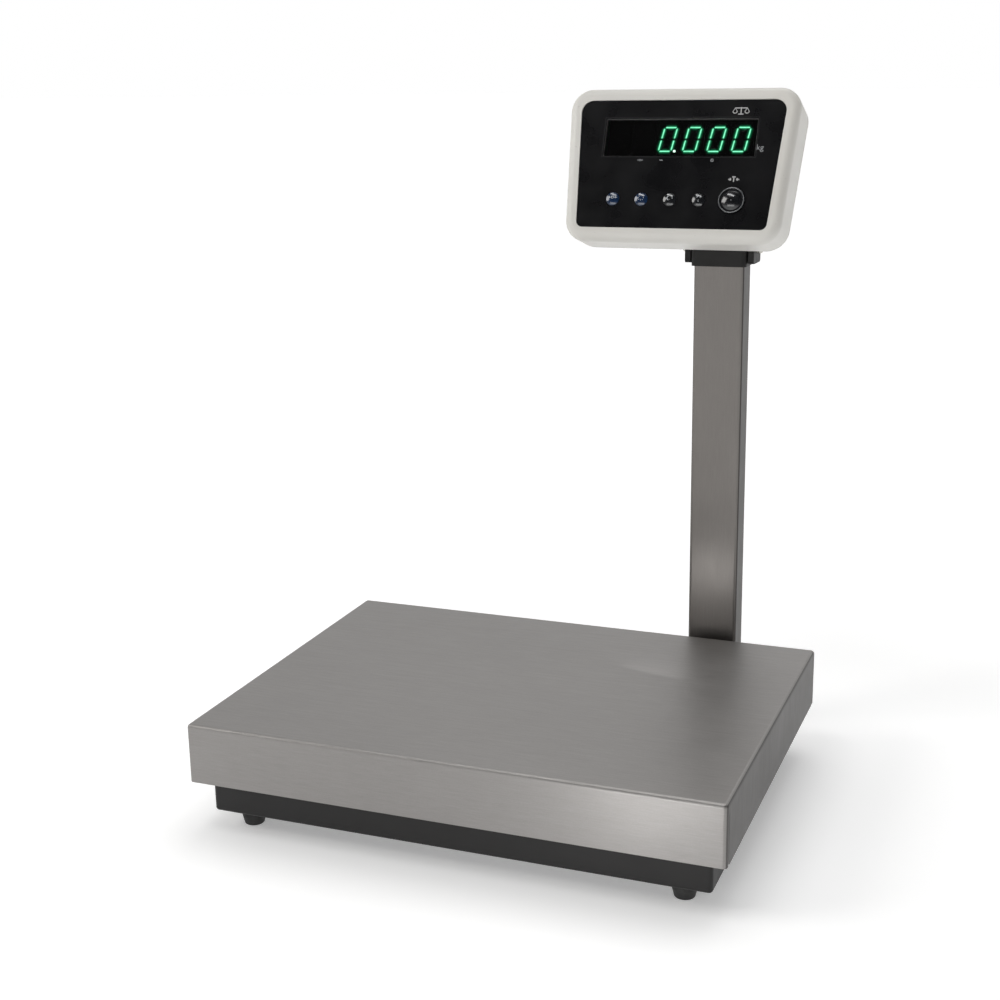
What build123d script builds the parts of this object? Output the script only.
from build123d import *
import os
from math import cos, degrees, radians, sin

os.makedirs("parts", exist_ok=True)

# Bench scale: a stainless weighing pan on a load-cell platform inside a folded steel base,
# with a tilting display head on a column behind the pan.
# Millimetres. +Z up, floor at Z = 0, the front of the pan faces -Y.
# Parts are drawn about the middle of the pan and saved shifted, so that the origin is
# the middle of the whole scale's footprint.

pan_width = 400
pan_depth = 300
pan_skirt = 45
pan_top = 85
pan_sheet = 1.5
pan_corner_radius = 3
pan_edge_radius = 2.8
seam_width = 0.9
seam_depth = 0.7
rib_half_length = 125
rib_half_width = 12
rib_depth = 5
rib_flange = 8
rib_sheet = 1.2
reach_behind_pan = 41.8
pan_shift = -reach_behind_pan / 2

tray_width = 376
tray_depth = 276
tray_bottom = 13.5
tray_top = 58
tray_sheet = 2
tray_lip = 12
tray_corner_radius = 3
tray_edge_radius = 2.5
tray_floor = tray_bottom + tray_sheet

foot_x = 165
foot_y = 120.5
foot_travel_gap = 0.3
stud_radius = 4
foot_sole = 7.2
foot_radius = 8.9

pole_x = 111.8
pole_front = 162
pole_width = 40
pole_depth = 25
pole_wall = 1.5
pole_mid = pole_front + pole_depth / 2
pole_bottom = 17
pole_top = 395
collar_bottom = 388.7
collar_overlap = 3
collar_screw_x = 12
collar_screw_z = 392.5
pivot_height = 404
pivot_bolt_radius = 3
pole_screw_radius = 2.5
bracket_sheet = 2.5
bracket_gap = 0.2
bracket_top = 66
bracket_bolt_radius = 2
nut_height = 4

cell_length = 130
cell_width = 30
cell_bottom = 24.5
cell_top = 46.5
cell_bore_radius = 8.6
cell_bore_x = 13
cell_slot = 4
cell_base_holes = (-57, -41)
cell_top_holes = (41, 57)
cell_hole_radius = 3.2
cell_screw_radius = 3
mount_plate_sheet = 5
beam_sheet = 3
beam_half_width = 35
beam_wall_x = 134
rail_half_width = 12.5
rail_wall = 1.5
stop_gap = 0.9
rail_x = 149.5
rail_bottom = 53.5
rail_top = 73.5
battery_x = (-130, -30)
battery_y = (-122, -52)
battery_top = 63
strap_x = (-105, -85)
strap_sheet = 1.5
strap_foot = 11
junction_x = (86, 138)
junction_y = (52, 86)
level_x = 90
level_y = -100

head_x = 85.1
head_y = 130
head_height = 468.8
head_tilt = radians(21.7)
head_half_width = 87.1
head_side_slope = 0.067
shell_front = 0.8
shell_split = -34
head_back = -43
board_face = -10
board_sheet = 1.6
main_board_face = -22
plate_thickness = 1.5
shell_wall = 3
small_key_radius = 5
tare_key_radius = 10
key_base = -5.4
key_flange_top = -4.3
key_flange = 1.5
boss_radius = 4.2
rear_boss_drop = 4
yoke_ear_u = (23, 27.5)
yoke_ear_reach = 13.3
yoke_ear_half = 12
yoke_plate = 3
self_tapper_radius = 1.5
self_tapper_hole = 1.7
board_screw_hole = 1.4
window_size = (118.4, 29.4)
window_centre = (0.2, 21)
digit_pitch = 18.9
small_keys = {"key_zero": -47, "key_light": -24.5, "key_left": -2, "key_up": 20.5}
tare_key_u = 45.5
key_row = -27.8
boss_u = 72
boss_v = 46
post_u = 61.5
post_v = 42.5

cable_radius = 2.5
cable_height = 27
dc_jack_x = -120


def block(x, y, z):
    """Box from three (low, high) pairs."""
    size = [high - low for low, high in (x, y, z)]
    middle = [(high + low) / 2 for low, high in (x, y, z)]
    return Pos(*middle) * Box(*size)


def rod(x, y, z, radius):
    """Upright cylinder at (x, y) over the (low, high) pair z."""
    return Pos(x, y, (z[0] + z[1]) / 2) * Cylinder(radius, z[1] - z[0])


def rod_x(x, y, z, radius):
    """Cylinder along X over the (low, high) pair x."""
    return Pos((x[0] + x[1]) / 2, y, z) * Rot(0, 90, 0) * Cylinder(radius, x[1] - x[0])


def rod_y(x, y, z, radius):
    """Cylinder along Y over the (low, high) pair y."""
    return Pos(x, (y[0] + y[1]) / 2, z) * Rot(90, 0, 0) * Cylinder(radius, y[1] - y[0])


def hexagon(x, y, z, across_flats):
    """Upright hexagonal prism over the (low, high) pair z."""
    outline = RegularPolygon(across_flats / 2, 6, major_radius=False)
    return Pos(x, y, z[0]) * extrude(outline, z[1] - z[0])


def hexagon_x(x, y, z, across_flats):
    """Hexagonal prism along X over the (low, high) pair x."""
    outline = RegularPolygon(across_flats / 2, 6, major_radius=False)
    return Pos(x[0], y, z) * Rot(0, 90, 0) * extrude(outline, x[1] - x[0])


def corners(x, y):
    """The four points (+-x, +-y)."""
    return [(sx * x, sy * y) for sx in (-1, 1) for sy in (-1, 1)]


def joined(shapes):
    """One shape from several, which stay separate solids where they don't touch."""
    total = shapes[0]
    for shape in shapes[1:]:
        total = total + shape
    return total


def save(name, shape):
    export_step(Pos(0, pan_shift, 0) * shape, f"parts/{name}.step")


# Head frame: u to the right, v up the face, w straight out of the face. w = 0 is the face plate.
head_plane = Plane(
    origin=(head_x, head_y, head_height),
    x_dir=(1, 0, 0),
    z_dir=(0, -cos(head_tilt), sin(head_tilt)),
)
pivot_arm_y = pole_mid - head_y
pivot_arm_z = pivot_height - head_height
pivot_u = pole_x - head_x
pivot_v = pivot_arm_y * sin(head_tilt) + pivot_arm_z * cos(head_tilt)
pivot_w = -pivot_arm_y * cos(head_tilt) + pivot_arm_z * sin(head_tilt)


def save_head(name, shape):
    save(name, head_plane.location * shape)


# ---------------------------------------------------------------- weighing pan


def make_pan():
    half_x = pan_width / 2
    half_y = pan_depth / 2
    low = pan_top - pan_skirt
    outer = block((-half_x, half_x), (-half_y, half_y), (low, pan_top))
    outer = fillet(outer.edges().filter_by(Axis.Z), pan_corner_radius)
    outer = fillet(outer.faces().sort_by(Axis.Z)[-1].edges(), pan_edge_radius)
    inner_x = half_x - pan_sheet
    inner_y = half_y - pan_sheet
    inner = block((-inner_x, inner_x), (-inner_y, inner_y), (low - 1, pan_top - pan_sheet))
    inner = fillet(inner.edges().filter_by(Axis.Z), pan_corner_radius - pan_sheet)
    inner = fillet(inner.faces().sort_by(Axis.Z)[-1].edges(), pan_edge_radius - pan_sheet)
    pan = outer - inner
    # The front and back skirts wrap round each corner and meet the side skirts at a seam.
    seam_y = half_y - 5
    for x, y in corners(half_x, seam_y):
        pan = pan - Pos(x, y, low + pan_skirt / 2 - 3) * Box(2 * seam_depth, seam_width, pan_skirt - 4)
        pan = pan - Pos(x, y - 1.2 * (y / seam_y), low) * Box(8, 2.4, 6)
    return pan


def make_pan_ribs():
    """Two hat-section stiffeners spot-welded under the pan."""
    under = pan_top - pan_sheet
    length = (-rib_half_length, rib_half_length)
    cut_length = (-rib_half_length - 1, rib_half_length + 1)
    ribs = []
    for y in (-62, 62):
        hat = block(length, (y - rib_half_width, y + rib_half_width), (under - rib_depth, under))
        inside = rib_half_width - rib_sheet
        reach = rib_half_width + rib_flange
        groove = block(cut_length, (y - inside, y + inside), (under - rib_depth + rib_sheet, under + 1))
        flanges = block(length, (y - reach, y + reach), (under - rib_sheet, under))
        gap = block(cut_length, (y - inside, y + inside), (under - 2 * rib_sheet, under + 1))
        ribs.append(hat - groove + (flanges - gap))
    return joined(ribs)


# ---------------------------------------------------------------- base


def make_tray():
    half_x = tray_width / 2
    half_y = tray_depth / 2
    outer = block((-half_x, half_x), (-half_y, half_y), (tray_bottom, tray_top))
    outer = fillet(outer.edges().filter_by(Axis.Z), tray_corner_radius)
    outer = fillet(outer.faces().sort_by(Axis.Z)[0].edges(), tray_edge_radius)
    wall_x = half_x - tray_sheet
    wall_y = half_y - tray_sheet
    hollow = block((-wall_x, wall_x), (-wall_y, wall_y), (tray_floor, tray_top - tray_sheet))
    mouth_x = half_x - tray_lip
    mouth_y = half_y - tray_lip
    mouth = block((-mouth_x, mouth_x), (-mouth_y, mouth_y), (tray_floor, tray_top + 1))
    tray = outer - hollow - mouth
    for x, y in corners(foot_x, foot_y):
        tray = tray - rod(x, y, (tray_bottom - 1, tray_floor + 1), stud_radius + 0.4)
    tray = tray - rod_y(pole_x, (wall_y - 1, half_y + 1), cable_height, 5)
    tray = tray - rod_y(dc_jack_x, (wall_y - 1, half_y + 1), cable_height, 4.2)
    for x, z in bracket_bolts():
        tray = tray - rod_y(x, (wall_y - 1, half_y + 1), z, bracket_bolt_radius + 0.1)
    return tray


def bracket_bolts():
    """(x, z) of the four bolts that hold the pole bracket to the back of the tray."""
    return [(pole_x + sx * 27.3, z) for sx in (-1, 1) for z in (21, 33)]


def make_mount_plate():
    plate = block((-75, 75), (-50, 50), (tray_floor, tray_floor + mount_plate_sheet))
    plate = chamfer(plate.edges().filter_by(Axis.Z), 8)
    for x in cell_base_holes:
        plate = plate - rod(x, 0, (tray_floor - 1, tray_floor + mount_plate_sheet + 1), cell_hole_radius)
    return plate


def make_cell_spacer(low_x, z):
    spacer = block((low_x, low_x + 32), (-cell_width / 2, cell_width / 2), z)
    for x in (low_x + 8, low_x + 24):
        spacer = spacer - rod(x, 0, (z[0] - 1, z[1] + 1), cell_hole_radius)
    return spacer


def make_load_cell():
    """Single-point cell: a bar with two bores joined by a slot, so it bends like a parallelogram."""
    half = cell_length / 2
    middle = (cell_bottom + cell_top) / 2
    bar = block((-half, half), (-cell_width / 2, cell_width / 2), (cell_bottom, cell_top))
    bar = chamfer(bar.edges().filter_by(Axis.Z), 1)
    for x in (-cell_bore_x, cell_bore_x):
        bar = bar - rod_y(x, (-cell_width, cell_width), middle, cell_bore_radius)
    slot = (middle - cell_slot, middle + cell_slot)
    bar = bar - block((-cell_bore_x, cell_bore_x), (-cell_width, cell_width), slot)
    for x in cell_base_holes:
        bar = bar - rod(x, 0, (cell_bottom - 1, cell_bottom + 14), cell_hole_radius)
    for x in cell_top_holes:
        bar = bar - rod(x, 0, (cell_top - 14, cell_top + 1), cell_hole_radius)
    return bar


def make_cell_base_screws():
    """Two cap screws up through the mounting plate into the fixed end of the cell."""
    shank = (tray_floor + 0.1, cell_bottom + 12)
    return joined([rod(x, 0, shank, cell_screw_radius) for x in cell_base_holes])


def make_cell_top_screws():
    screws = []
    for x in cell_top_holes:
        head = rod(x, 0, (rail_bottom, rail_bottom + 6), 5)
        socket = hexagon(x, 0, (rail_bottom + 3, rail_bottom + 7), 5)
        screws.append(head - socket + rod(x, 0, (cell_top - 12, rail_bottom + 1), cell_screw_radius))
    return joined(screws)


def make_overload_stops():
    """A stop post under each corner of the platform takes over when the pan is overloaded."""
    stops = []
    for x, y in corners(rail_x, 90):
        post = hexagon(x, y, (tray_floor, 44), 13)
        screw = rod(x, y, (44, 50), cell_screw_radius)
        button = rod(x, y, (49, rail_bottom - stop_gap), 6)
        stops.append(post + screw + button)
    return joined(stops)


def make_foot_nuts():
    nuts = []
    for x, y in corners(foot_x, foot_y):
        nut = hexagon(x, y, (tray_floor, tray_floor + 6.5), 13)
        nuts.append(nut - rod(x, y, (tray_floor - 1, tray_floor + 8), stud_radius + 0.1))
    return joined(nuts)


def make_foot_stud(x, y):
    return chamfer(rod(x, y, (4, 38), stud_radius).faces().sort_by(Axis.Z)[-1].edges(), 0.8)


def make_foot_pad(x, y):
    top = tray_bottom - foot_travel_gap
    outline = ((0, 0), (foot_sole, 0), (foot_radius, 7), (foot_radius, top), (0, top))
    profile = Polygon(*outline, align=None)
    profile = fillet(profile.vertices().sort_by(Axis.X)[-3:], 1.2)
    pad = Pos(x, y, 0) * revolve(Rot(90, 0, 0) * profile, Axis.Z)
    return pad - rod(x, y, (4, top + 1), stud_radius)


def make_battery():
    case = block(battery_x, battery_y, (tray_floor, battery_top))
    case = fillet(case.edges(), 2)
    back = battery_y[1]
    lugs = [block((x, x + 4), (back - 0.5, back + 6), (54, 55)) for x in (-118, -46)]
    return case + joined(lugs)


def make_battery_strap():
    top = battery_top + strap_sheet
    low = tray_floor
    front = battery_y[0] - 0.1
    back = battery_y[1] + 0.1
    over = block(strap_x, (front - strap_sheet, back + strap_sheet), (battery_top, top))
    front_leg = block(strap_x, (front - strap_sheet, front), (low, top))
    back_leg = block(strap_x, (back, back + strap_sheet), (low, top))
    front_foot = block(strap_x, (front - strap_foot, front), (low, low + strap_sheet))
    back_foot = block(strap_x, (back, back + strap_foot), (low, low + strap_sheet))
    return over + front_leg + back_leg + front_foot + back_foot


def make_junction_board():
    low = tray_floor + 4
    top = low + board_sheet
    board = block(junction_x, junction_y, (low, top))
    leg_x = (junction_x[0] + 4, junction_x[1] - 4)
    leg_y = (junction_y[0] + 4, junction_y[1] - 4)
    legs = [rod(x, y, (tray_floor, low + 0.5), 2.5) for x in leg_x for y in leg_y]
    connector = block((105.8, 117.8), (74, 84), (top, 31.5))
    can = block((92, 104), (56, 70), (top, top + 3))
    chip = block((112, 126), (57, 67), (top, top + 1.6))
    return joined([board, connector, can, chip] + legs)


def make_level_cup():
    cup = rod(level_x, level_y, (tray_floor, tray_floor + 11), 10)
    return cup - rod(level_x, level_y, (tray_floor + 3, tray_floor + 12), 8)


def make_level_vial():
    vial = rod(level_x, level_y, (tray_floor + 3, tray_floor + 11.5), 7.9)
    return fillet(vial.faces().sort_by(Axis.Z)[-1].edges(), 0.8)


def make_dc_jack():
    """Low-voltage inlet: a body inside the tray and a barrel through its back wall."""
    wall = tray_depth / 2 - tray_sheet
    width = (dc_jack_x - 5.5, dc_jack_x + 5.5)
    body = block(width, (wall - 12, wall), (cable_height - 5, cable_height + 5))
    barrel = rod_y(dc_jack_x, (wall - 1, wall + tray_sheet + 0.6), cable_height, 4)
    bore = rod_y(dc_jack_x, (wall - 9, wall + 4), cable_height, 2.8)
    pin = rod_y(dc_jack_x, (wall - 9.5, wall + 1.5), cable_height, 1)
    return body + barrel - bore + pin


# ---------------------------------------------------------------- platform


def make_beam():
    """Cross channel carried by the live end of the cell."""
    low = rail_bottom - beam_sheet
    inside = beam_half_width - beam_sheet
    web = block((-165, 165), (-beam_half_width, beam_half_width), (low, rail_bottom))
    outer = block((-beam_wall_x, beam_wall_x), (-beam_half_width, beam_half_width), (low, rail_top))
    trough = block((-beam_wall_x - 1, beam_wall_x + 1), (-inside, inside), (rail_bottom, rail_top + 1))
    beam = web + (outer - trough)
    for x in cell_top_holes:
        beam = beam - rod(x, 0, (low - 1, rail_bottom + 1), cell_hole_radius)
    return beam


def make_rail(side):
    """Square tube along each side of the platform."""
    middle = side * rail_x
    inside = rail_half_width - rail_wall
    width = (middle - rail_half_width, middle + rail_half_width)
    outer = block(width, (-118, 118), (rail_bottom, rail_top))
    outer = fillet(outer.edges().filter_by(Axis.Y), 2.5)
    hollow_z = (rail_bottom + rail_wall, rail_top - rail_wall)
    inner = block((middle - inside, middle + inside), (-119, 119), hollow_z)
    return outer - fillet(inner.edges().filter_by(Axis.Y), 1)


def make_pan_pads():
    """Rubber pads on the rail ends, which the pan rests on."""
    pads = []
    for x, y in corners(rail_x, 104):
        pad = rod(x, y, (rail_top, pan_top - pan_sheet), 10)
        pads.append(chamfer(pad.faces().sort_by(Axis.Z)[-1].edges(), 1))
    return joined(pads)


# ---------------------------------------------------------------- column


def pole_outline(grow):
    return RectangleRounded(pole_width + 2 * grow, pole_depth + 2 * grow, 2.5 + grow)


def make_pole():
    shape = extrude(pole_outline(0) - pole_outline(-pole_wall), pole_top - pole_bottom)
    pole = Pos(pole_x, pole_mid, pole_bottom) * shape
    # Slot where the signal cable enters from the base.
    slot = block((pole_x - 5, pole_x + 5), (pole_front - 1, pole_front + 3), (24, 52))
    pole = pole - slot
    for y, z in pole_screw_spots():
        pole = pole - rod_x((pole_x - 30, pole_x + 30), y, z, pole_screw_radius + 0.1)
    return pole


def pole_screw_spots():
    """(y, z) of the bolts across the pole, behind the signal cable."""
    return [(pole_mid + 7, z) for z in (46, 58)]


def make_pole_bracket():
    """Folded bracket from the back of the tray, with two cheeks and a back that hold the pole."""
    back = tray_depth / 2
    low = tray_bottom
    inside = pole_width / 2 + bracket_gap
    outside = inside + bracket_sheet
    rear = pole_front + pole_depth + bracket_gap
    rear_face = rear + bracket_sheet
    width = (pole_x - outside, pole_x + outside)
    lip = block((pole_x - 32, pole_x + 32), (back, back + bracket_sheet), (low, 38))
    lip = lip - rod_y(pole_x, (back - 1, back + 4), cable_height, 8)
    floor = block(width, (back, rear_face), (low, low + bracket_sheet))
    bracket = lip + floor + block(width, (rear, rear_face), (low, bracket_top))
    for side in (-1, 1):
        edges = (pole_x + side * inside, pole_x + side * outside)
        across = (min(edges), max(edges))
        bracket = bracket + block(across, (back, rear_face), (low, 36))
        bracket = bracket + block(across, (pole_front - bracket_sheet, rear_face), (low, bracket_top))
    for x, z in bracket_bolts():
        bracket = bracket - rod_y(x, (back - 1, back + 4), z, bracket_bolt_radius + 0.1)
    for y, z in pole_screw_spots():
        bracket = bracket - rod_x((pole_x - 30, pole_x + 30), y, z, pole_screw_radius + 0.1)
    return bracket


def make_bracket_bolts():
    """Bolts from inside the tray, with nuts behind the bracket's lip outside its cheeks."""
    wall = tray_depth / 2 - tray_sheet
    bolts = []
    for x, z in bracket_bolts():
        shank = rod_y(x, (wall - 1, wall + 8), z, bracket_bolt_radius)
        head = rod_y(x, (wall - 2.5, wall), z, 3.8)
        bolts.append(shank + head)
    return joined(bolts)


def make_pole_screws():
    """Through bolts that clamp the pole between the bracket's cheeks."""
    side = pole_width / 2 + bracket_gap + bracket_sheet
    screws = []
    for y, z in pole_screw_spots():
        shank = rod_x((pole_x - side - 1, pole_x + side + 1), y, z, pole_screw_radius)
        head = rod_x((pole_x + side, pole_x + side + 3.3), y, z, 4.5)
        nut = hexagon_x((pole_x - side - nut_height, pole_x - side), y, z, 8)
        screws.append(shank + head + nut)
    return joined(screws)


def make_collar():
    """Moulded cap on the pole, with a solid hinge block for the tilt bolt."""
    front = pole_front - collar_overlap
    back = pole_front + pole_depth + collar_overlap
    width = (pole_x - 22, pole_x + 22)
    cap = block(width, (front, back), (collar_bottom, pivot_height + 1))
    cap = fillet(cap.edges().filter_by(Axis.Z), 4)
    knuckle = rod_x(width, pole_mid, pivot_height, 12)
    socket_depth = pole_top - collar_bottom + 1
    socket = Pos(pole_x, pole_mid, collar_bottom - 1) * extrude(pole_outline(0.1), socket_depth)
    way_in = block((pole_x - 6, pole_x + 6), (pole_mid - 5, pole_mid + 5), (pole_top - 1, pole_top + 4))
    trim_plane = block(width, (front - 1, back + 1), (pivot_height, pivot_height + 20))
    top = knuckle & trim_plane
    back_slope = Pos(pole_x, back, pivot_height + 1) * Rot(-40, 0, 0) * Box(60, 12, 12)
    collar = cap - back_slope + top - socket - way_in
    collar = collar - rod_x((pole_x - 30, pole_x + 30), pole_mid, pivot_height, pivot_bolt_radius + 0.1)
    for side in (-1, 1):
        hole = rod_y(pole_x + side * collar_screw_x, (back - 4, back + 1), collar_screw_z, 1.6)
        collar = collar - hole
    return collar


def make_collar_screws():
    """Two screws through the back of the collar into the pole."""
    back = pole_front + pole_depth + collar_overlap
    screws = []
    for side in (-1, 1):
        x = pole_x + side * collar_screw_x
        shank = rod_y(x, (back - 1.4, back + 1.2), collar_screw_z, 1.5)
        screws.append(shank + rod_y(x, (back, back + 1.8), collar_screw_z, 3))
    return joined(screws)


def make_tilt_bolt():
    shank = rod_x((pole_x - 33, pole_x + 28), pole_mid, pivot_height, pivot_bolt_radius)
    head = hexagon_x((pole_x + 27.6, pole_x + 31.6), pole_mid, pivot_height, 10)
    nut = hexagon_x((pole_x - 27.6 - nut_height, pole_x - 27.6), pole_mid, pivot_height, 10)
    return shank + head + nut


def make_friction_washers():
    washers = []
    for low in (pole_x - 22.95, pole_x + 22.05):
        disc = rod_x((low, low + 0.9), pole_mid, pivot_height, 9)
        washers.append(disc - rod_x((low - 1, low + 2), pole_mid, pivot_height, pivot_bolt_radius + 0.1))
    return joined(washers)


def make_signal_cable():
    """Runs back from the junction board, through the tray wall, and up inside the pole."""
    start = (pole_x, 84, cable_height)
    bend = (pole_x, pole_mid, cable_height)
    end = (pole_x, pole_mid, pole_top - 3)
    bend_radius = 0.45 * (pole_mid - 84)
    path = FilletPolyline(start, bend, end, radius=bend_radius)
    section = Plane(origin=start, z_dir=(0, 1, 0)) * Circle(cable_radius)
    print("signal cable radius", bend_radius, "length", path.length)
    return sweep(section, path=path)


def make_cable_grommet():
    back = tray_depth / 2
    neck = rod_y(pole_x, (back - 3.2, back + 1.2), cable_height, 4.9)
    inside = rod_y(pole_x, (back - 3.2, back - 2), cable_height, 7)
    outside = rod_y(pole_x, (back, back + 1.2), cable_height, 7)
    bore = rod_y(pole_x, (back - 5, back + 3), cable_height, cable_radius + 0.6)
    return neck + inside + outside - bore


# ---------------------------------------------------------------- display head


def head_outline(grow, low, high, lower_radius, upper_radius):
    """Outline of the head seen square on: wider at the top, with rounded corners."""

    def half(v):
        return head_half_width + head_side_slope * v + grow

    points = [(-half(low), low), (half(low), low), (half(high), high), (-half(high), high)]
    sketch = Polygon(*points, align=None)
    sketch = fillet(sketch.vertices().sort_by(Axis.Y)[:2], lower_radius)
    return fillet(sketch.vertices().sort_by(Axis.Y)[-2:], upper_radius)


def plate_outline(grow):
    return head_outline(grow - 10.1, -50.2 - grow, 50 + grow, 5 + grow, 9 + grow)


def key_spots():
    """(u, v, radius) of every key."""
    spots = [(u, key_row, small_key_radius) for u in small_keys.values()]
    return spots + [(tare_key_u, key_row, tare_key_radius)]


def make_front_shell():
    front = Pos(0, 0, shell_front) * head_outline(0, -61, 60.8, 17, 17)
    rear = Pos(0, 0, shell_split) * head_outline(0.3, -56.8, 60.2, 17, 17)
    outer = loft([front, rear], ruled=True)
    outer = fillet(outer.faces().sort_by(Axis.Z)[-1].edges(), 6.5)
    cavity_front = Pos(0, 0, -4) * head_outline(-shell_wall, -57.6, 57.6, 14, 14)
    cavity_rear = Pos(0, 0, shell_split - 1) * head_outline(-2.6, -53.8, 57.2, 14, 14)
    shell = outer - loft([cavity_front, cavity_rear], ruled=True)
    shell = shell - Pos(0, 0, -plate_thickness) * extrude(plate_outline(0.2), 5)
    opening = Pos(*window_centre, -3) * Box(window_size[0] - 1, window_size[1] - 1, 6)
    shell = shell - opening
    for u, v, radius in key_spots():
        shell = shell - rod(u, v, (-6, 0), radius + 0.35)
    for u, v in corners(boss_u, boss_v):
        shell = shell + rod(u, v, (shell_split, -3), boss_radius)
        shell = shell - rod(u, v, (shell_split - 1, -20), 1.6)
    for u, v in corners(post_u, post_v):
        shell = shell + rod(u, v, (board_face, -3), 2.8)
        shell = shell - rod(u, v, (board_face - 1, -5), 1.3)
    return shell


def make_seal():
    ring = head_outline(0.1, -56.6, 60, 17, 17) - head_outline(-2.4, -54.2, 57.6, 14.5, 14.5)
    return Pos(0, 0, shell_split - 1) * extrude(ring, 1)


def make_rear_shell():
    split = shell_split - 1
    outer_rim = Pos(0, 0, split) * head_outline(-1, -55.6, 59.2, 16, 16)
    outer_back = Pos(0, 0, head_back) * head_outline(-9, -50, 52, 12, 12)
    inner_rim = Pos(0, 0, split + 0.1) * head_outline(-3.4, -53.2, 56.8, 13.5, 13.5)
    inner_back = Pos(0, 0, head_back + 2.5) * head_outline(-11, -48, 50, 10, 10)
    shell = loft([outer_back, outer_rim], ruled=True) - loft([inner_back, inner_rim], ruled=True)
    for u, v in corners(boss_u, boss_v - rear_boss_drop):
        shell = shell + rod(u, v, (head_back + 1, split), 4)
    for u, v in corners(boss_u, boss_v - rear_boss_drop):
        shell = shell - rod(u, v, (head_back - 1, split + 1), self_tapper_hole)
        shell = shell - rod(u, v, (head_back - 1, head_back + 2), 3.4)
    for u, v in yoke_screw_spots():
        shell = shell - rod(u, v, (head_back - 1, head_back + 4), self_tapper_hole)
    for row in range(7):
        shell = shell - Pos(-40, 8 + 4 * row, head_back) * Box(34, 1.6, 12)
    return shell


def make_face_plate():
    plate = Pos(0, 0, -plate_thickness) * extrude(plate_outline(0), plate_thickness)
    plate = plate - Pos(*window_centre, 0) * Box(*window_size, 6)
    for u, v, radius in key_spots():
        plate = plate - rod(u, v, (-3, 1), radius + 0.3)
    return plate


def make_window():
    lens = Pos(*window_centre, -1.05) * Box(window_size[0] - 0.1, window_size[1] - 0.1, 0.9)
    tongue = Pos(*window_centre, -1.9) * Box(window_size[0] - 1.2, window_size[1] - 1.2, 1.0)
    return chamfer(lens.edges().filter_by(Axis.Z), 0.4) + tongue


def make_digits():
    """Six seven-segment blocks side by side."""
    width = digit_pitch - 0.3
    first = window_centre[0] - 2.5 * digit_pitch
    low_v = window_centre[1] - 13.5
    blocks = []
    for place in range(6):
        u = first + place * digit_pitch
        blocks.append(block((u - width / 2, u + width / 2), (low_v, low_v + 27), (board_face, -2.8)))
    return joined(blocks)


def make_display_board():
    board = block((-65, 65), (-48, 46), (board_face - board_sheet, board_face))
    for u, v in corners(post_u, post_v):
        board = board - rod(u, v, (board_face - 3, board_face + 1), board_screw_hole)
    return board


def make_key_switches():
    switches = []
    for u, v, radius in key_spots():
        body = block((u - 3, u + 3), (v - 3, v + 3), (board_face, -7))
        switches.append(body + rod(u, v, (-7.1, -6.4), 1.75))
    return joined(switches)


def make_board_spacers():
    """Screwed spacers that hold the display board to its posts and carry the main board."""
    spacers = []
    for u, v in corners(post_u, post_v):
        body = hexagon(u, v, (main_board_face, board_face - board_sheet), 5)
        spacers.append(body + rod(u, v, (board_face - board_sheet - 0.5, -5.5), 1.2))
    return joined(spacers)


def make_main_board():
    back = main_board_face - board_sheet
    board = block((-65, 65), (-46, 46), (back, main_board_face))
    for u, v in corners(post_u, post_v):
        board = board - rod(u, v, (back - 1, main_board_face + 1), board_screw_hole)
    chips = [
        block((-20, -2), (-10, 8), (back - 1.8, back)),
        block((10, 22), (12, 30), (back - 2.2, back)),
        block((-50, -34), (20, 38), (back - 8, back)),
        block((30, 54), (-40, -30), (back - 9, back)),
        rod(-30, -30, (back - 10, back), 4),
        rod(-42, -30, (back - 10, back), 4),
    ]
    return joined([board] + chips)


def make_board_screws():
    back = main_board_face - board_sheet
    screws = []
    for u, v in corners(post_u, post_v):
        head = rod(u, v, (back - 1.8, back), 2.6)
        screws.append(head)
    return joined(screws)


def make_buzzer():
    back = board_face - board_sheet
    body = rod(34, -20, (back - 7, back), 6)
    return body - rod(34, -20, (back - 8, back - 5), 1)


def make_shell_screws():
    screws = []
    for u, v in corners(boss_u, boss_v - rear_boss_drop):
        head = rod(u, v, (head_back + 0.4, head_back + 2), 3.2)
        cross = Pos(u, v, head_back) * (Box(3.6, 0.8, 2) + Box(0.8, 3.6, 2))
        screws.append(head + rod(u, v, (head_back + 1.5, shell_split), self_tapper_radius) - cross)
    return joined(screws)


def yoke_screw_spots():
    return [(pivot_u + su * 14, pivot_v + dv) for su in (-1, 1) for dv in (4, 22)]


def make_yoke():
    """Plate on the back of the head, with two ears that straddle the collar."""
    low_v = pivot_v - 5
    back = head_back - yoke_plate
    plate = block((pivot_u - 31, pivot_u + 31), (low_v, pivot_v + 29), (back, head_back))
    yoke = fillet(plate.edges().filter_by(Axis.Z), 4)
    for side in (-1, 1):
        edges = [pivot_u + side * edge for edge in yoke_ear_u]
        across = (min(edges), max(edges))
        arm = block(across, (low_v, pivot_v + yoke_ear_reach), (pivot_w, back + 1))
        ear = block(across, (-yoke_ear_reach, 8), (-yoke_ear_half, yoke_ear_half))
        ear = fillet(ear.edges().filter_by(Axis.X), 2.5)
        yoke = yoke + arm + Pos(0, pivot_v, pivot_w) * Rot(degrees(head_tilt), 0, 0) * ear
    yoke = yoke - rod_x((pivot_u - 40, pivot_u + 40), pivot_v, pivot_w, pivot_bolt_radius + 0.1)
    for u, v in yoke_screw_spots():
        yoke = yoke - rod(u, v, (back - 1, head_back + 1), self_tapper_hole)
    return yoke


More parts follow.
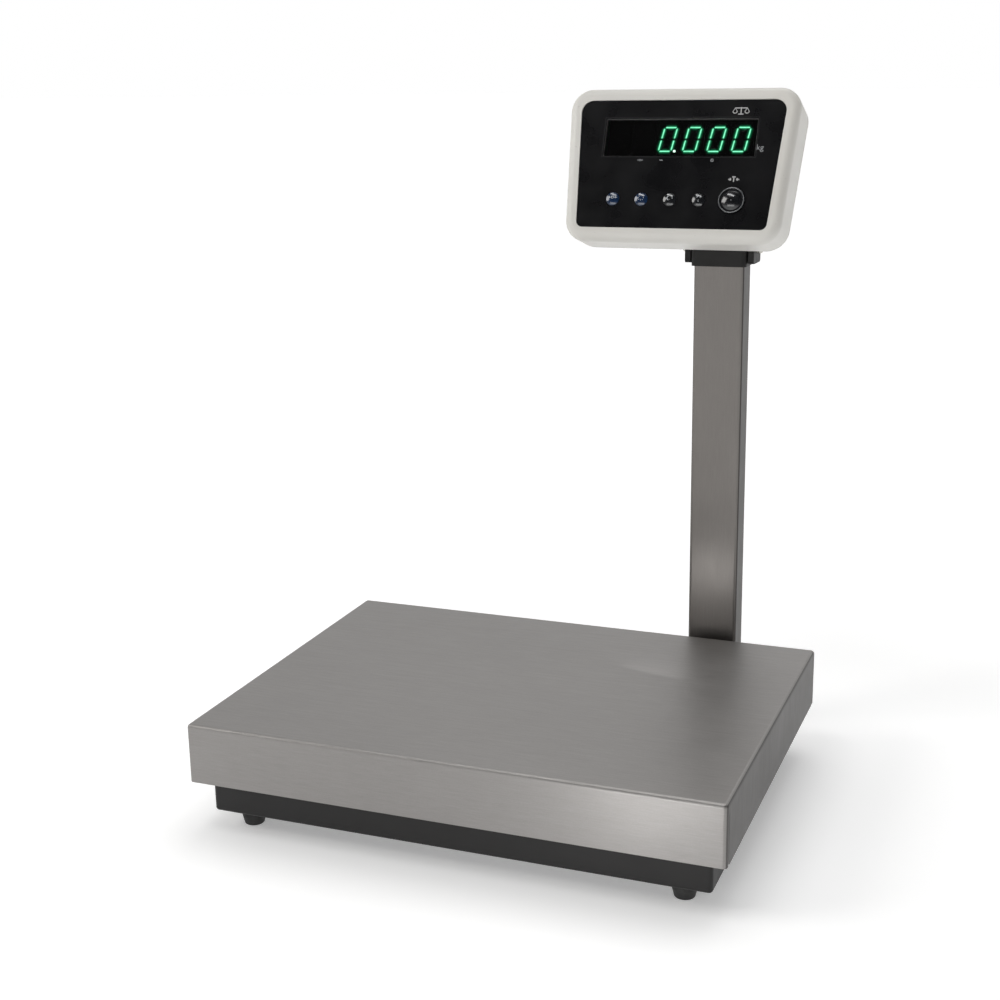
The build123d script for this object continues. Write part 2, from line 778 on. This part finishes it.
def make_yoke_screws():
    screws = []
    for u, v in yoke_screw_spots():
        back = head_back - yoke_plate
        head = rod(u, v, (back - 2, back), 1.9)
        screws.append(head + rod(u, v, (back - 2, head_back + 4), self_tapper_radius))
    return joined(screws)


def dome(u, v, base, radius, rise):
    """Shallow spherical cap of the given radius and rise, standing on w = base."""
    ball = (radius * radius + rise * rise) / (2 * rise)
    cap = Pos(u, v, base + rise - ball) * Sphere(ball)
    return cap & rod(u, v, (base - 0.5, base + rise + 1), radius)


def make_small_key(u):
    base = 0.3
    stem = rod(u, key_row, (key_base, base), small_key_radius)
    flange = rod(u, key_row, (key_base, key_flange_top), small_key_radius + key_flange)
    return stem + flange + dome(u, key_row, base, small_key_radius, 0.9)


def make_tare_key():
    """Large key: a raised rim round a shallow dome."""
    base = 0.4
    rim_top = 1.0
    u = tare_key_u
    stem = rod(u, key_row, (key_base, base), tare_key_radius)
    flange = rod(u, key_row, (key_base, key_flange_top), tare_key_radius + key_flange)
    rim = rod(u, key_row, (base - 0.1, rim_top), tare_key_radius) - rod(u, key_row, (0, 2), 8.9)
    return stem + flange + rim + dome(u, key_row, base, 7.4, 1.7)


# ---------------------------------------------------------------- everything

save("platter_pan", make_pan())
save("platter_ribs", make_pan_ribs())

save("base_tray", make_tray())
save("cell_mount_plate", make_mount_plate())
save("cell_base_spacer", make_cell_spacer(-65, (tray_floor + mount_plate_sheet, cell_bottom)))
save("load_cell", make_load_cell())
save("cell_base_screws", make_cell_base_screws())
save("overload_stops", make_overload_stops())
save("foot_nuts", make_foot_nuts())
save("battery", make_battery())
save("battery_strap", make_battery_strap())
save("junction_board", make_junction_board())
save("level_cup", make_level_cup())
save("level_vial", make_level_vial())
save("dc_jack", make_dc_jack())

save("spider_beam", make_beam())
save("spider_rail_left", make_rail(-1))
save("spider_rail_right", make_rail(1))
save("cell_top_spacer", make_cell_spacer(33, (cell_top, rail_bottom - beam_sheet)))
save("cell_top_screws", make_cell_top_screws())
save("platter_pads", make_pan_pads())

for name, side_x, side_y in (
    ("front_left", -1, -1),
    ("front_right", 1, -1),
    ("rear_left", -1, 1),
    ("rear_right", 1, 1),
):
    save(f"foot_stud_{name}", make_foot_stud(side_x * foot_x, side_y * foot_y))
    save(f"foot_pad_{name}", make_foot_pad(side_x * foot_x, side_y * foot_y))

save("pole", make_pole())
save("pole_bracket", make_pole_bracket())
save("bracket_bolts", make_bracket_bolts())
save("pole_screws", make_pole_screws())
save("pole_collar", make_collar())
save("collar_screws", make_collar_screws())
save("tilt_bolt", make_tilt_bolt())
save("friction_washers", make_friction_washers())
save("signal_cable", make_signal_cable())
save("cable_grommet", make_cable_grommet())

save_head("front_shell", make_front_shell())
save_head("head_seal", make_seal())
save_head("rear_shell", make_rear_shell())
save_head("face_plate", make_face_plate())
save_head("display_window", make_window())
save_head("digit_display", make_digits())
save_head("display_board", make_display_board())
save_head("key_switches", make_key_switches())
save_head("board_spacers", make_board_spacers())
save_head("main_board", make_main_board())
save_head("board_screws", make_board_screws())
save_head("buzzer", make_buzzer())
save_head("shell_screws", make_shell_screws())
save_head("tilt_yoke", make_yoke())
save_head("yoke_screws", make_yoke_screws())
for name, u in small_keys.items():
    save_head(name, make_small_key(u))
save_head("key_tare", make_tare_key())
